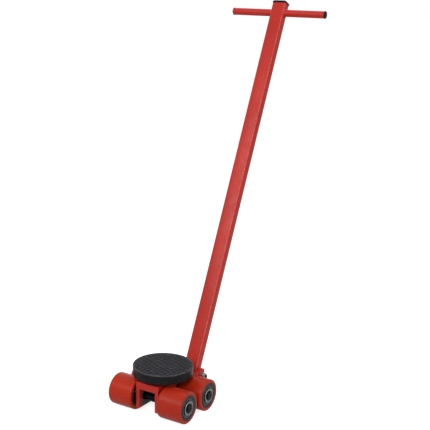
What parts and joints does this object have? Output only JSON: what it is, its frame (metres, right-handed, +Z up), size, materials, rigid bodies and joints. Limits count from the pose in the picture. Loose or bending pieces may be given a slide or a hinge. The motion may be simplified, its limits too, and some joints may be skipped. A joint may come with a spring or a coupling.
{
  "type": "swivel-top machinery dolly",
  "caption": "Low four-roller moving dolly with a rotating rubber-topped load plate on a short frame and a hinged T-handle drawbar.",
  "frame": {"origin": "centre of the load pad's top face, on the turntable's axis", "axes": "+Z up out of the load pad, +X along the roller axles, +Y back towards the drawbar hinge"},
  "size_m": [0.292, 0.6629, 1.0223],
  "materials": {
    "red_paint": "semi-gloss red powder coat",
    "black_paint": "satin black",
    "roller_polyurethane": "cast red polyurethane, satin",
    "hub_steel": "dark machined",
    "bearing_steel": "ground",
    "black_steel": "black oxide",
    "zinc_plate": "zinc plated",
    "pad_rubber": "matt moulded rubber",
    "black_plastic": "moulded black polyethylene",
    "bronze": "turned bearing bronze"
  },
  "bodies": {
    "frame": {"axle_circlips_front": "black_steel", "axle_circlips_rear": "black_steel", "axle_front": "black_steel", "axle_rear": "black_steel", "axle_spacers_front": "zinc_plate", "axle_spacers_rear": "zinc_plate", "axle_washers_front": "zinc_plate", "axle_washers_rear": "zinc_plate", "bearing_inner_rings_front": "bearing_steel", "bearing_inner_rings_rear": "bearing_steel", "hinge_bolt": "black_steel", "hinge_bolt_washers": "zinc_plate", "hinge_nut": "zinc_plate", "hinge_nut_insert": "black_plastic", "pivot_bush": "bronze", "side_plate_left": "red_paint", "side_plate_right": "red_paint", "thrust_race_lower": "bearing_steel", "top_plate": "red_paint"},
    "turntable": {"kingpin": "zinc_plate", "kingpin_circlip": "black_steel", "kingpin_washer": "zinc_plate", "load_pad": "pad_rubber", "thrust_race_upper": "bearing_steel", "turntable_plate": "black_paint"},
    "thrust_bearing": {"thrust_cage": "black_plastic", "thrust_rollers": "bearing_steel"},
    "drawbar": {"crossbar": "red_paint", "crossbar_cap_left": "black_plastic", "crossbar_cap_right": "black_plastic", "drawbar_tube": "red_paint", "hinge_friction_washers": "black_plastic", "hinge_sleeve": "zinc_plate", "tube_cap": "black_plastic"},
    "roller_front_left": {"roller_bearings_front_left": "bearing_steel", "roller_hub_front_left": "hub_steel", "roller_tread_front_left": "roller_polyurethane"},
    "roller_front_right": {"roller_bearings_front_right": "bearing_steel", "roller_hub_front_right": "hub_steel", "roller_tread_front_right": "roller_polyurethane"},
    "roller_rear_left": {"roller_bearings_rear_left": "bearing_steel", "roller_hub_rear_left": "hub_steel", "roller_tread_rear_left": "roller_polyurethane"},
    "roller_rear_right": {"roller_bearings_rear_right": "bearing_steel", "roller_hub_rear_right": "hub_steel", "roller_tread_rear_right": "roller_polyurethane"}
  },
  "joints": [
    {"name": "turntable_spin", "type": "hinge", "parent": "frame", "child": "turntable", "pos_m": [0, 0, 0], "axis": [0, 0, 1], "continuous": true},
    {"name": "thrust_bearing_spin", "type": "hinge", "parent": "frame", "child": "thrust_bearing", "pos_m": [0, 0, 0], "axis": [0, 0, 1], "continuous": true},
    {"name": "drawbar_tilt", "type": "hinge", "parent": "frame", "child": "drawbar", "pos_m": [0, 0.132, -0.071], "axis": [-1, 0, 0], "range_deg": [-53, 67.5]},
    {"name": "roller_front_left_spin", "type": "hinge", "parent": "frame", "child": "roller_front_left", "pos_m": [-0.075, -0.046, -0.076], "axis": [1, 0, 0], "continuous": true},
    {"name": "roller_front_right_spin", "type": "hinge", "parent": "frame", "child": "roller_front_right", "pos_m": [0.075, -0.046, -0.076], "axis": [1, 0, 0], "continuous": true},
    {"name": "roller_rear_left_spin", "type": "hinge", "parent": "frame", "child": "roller_rear_left", "pos_m": [-0.075, 0.046, -0.076], "axis": [1, 0, 0], "continuous": true},
    {"name": "roller_rear_right_spin", "type": "hinge", "parent": "frame", "child": "roller_rear_right", "pos_m": [0.075, 0.046, -0.076], "axis": [1, 0, 0], "continuous": true}
  ],
  "couplings": [
    {"joint": "thrust_bearing_spin", "follows": "turntable_spin", "ratio": 0.5}
  ]
}
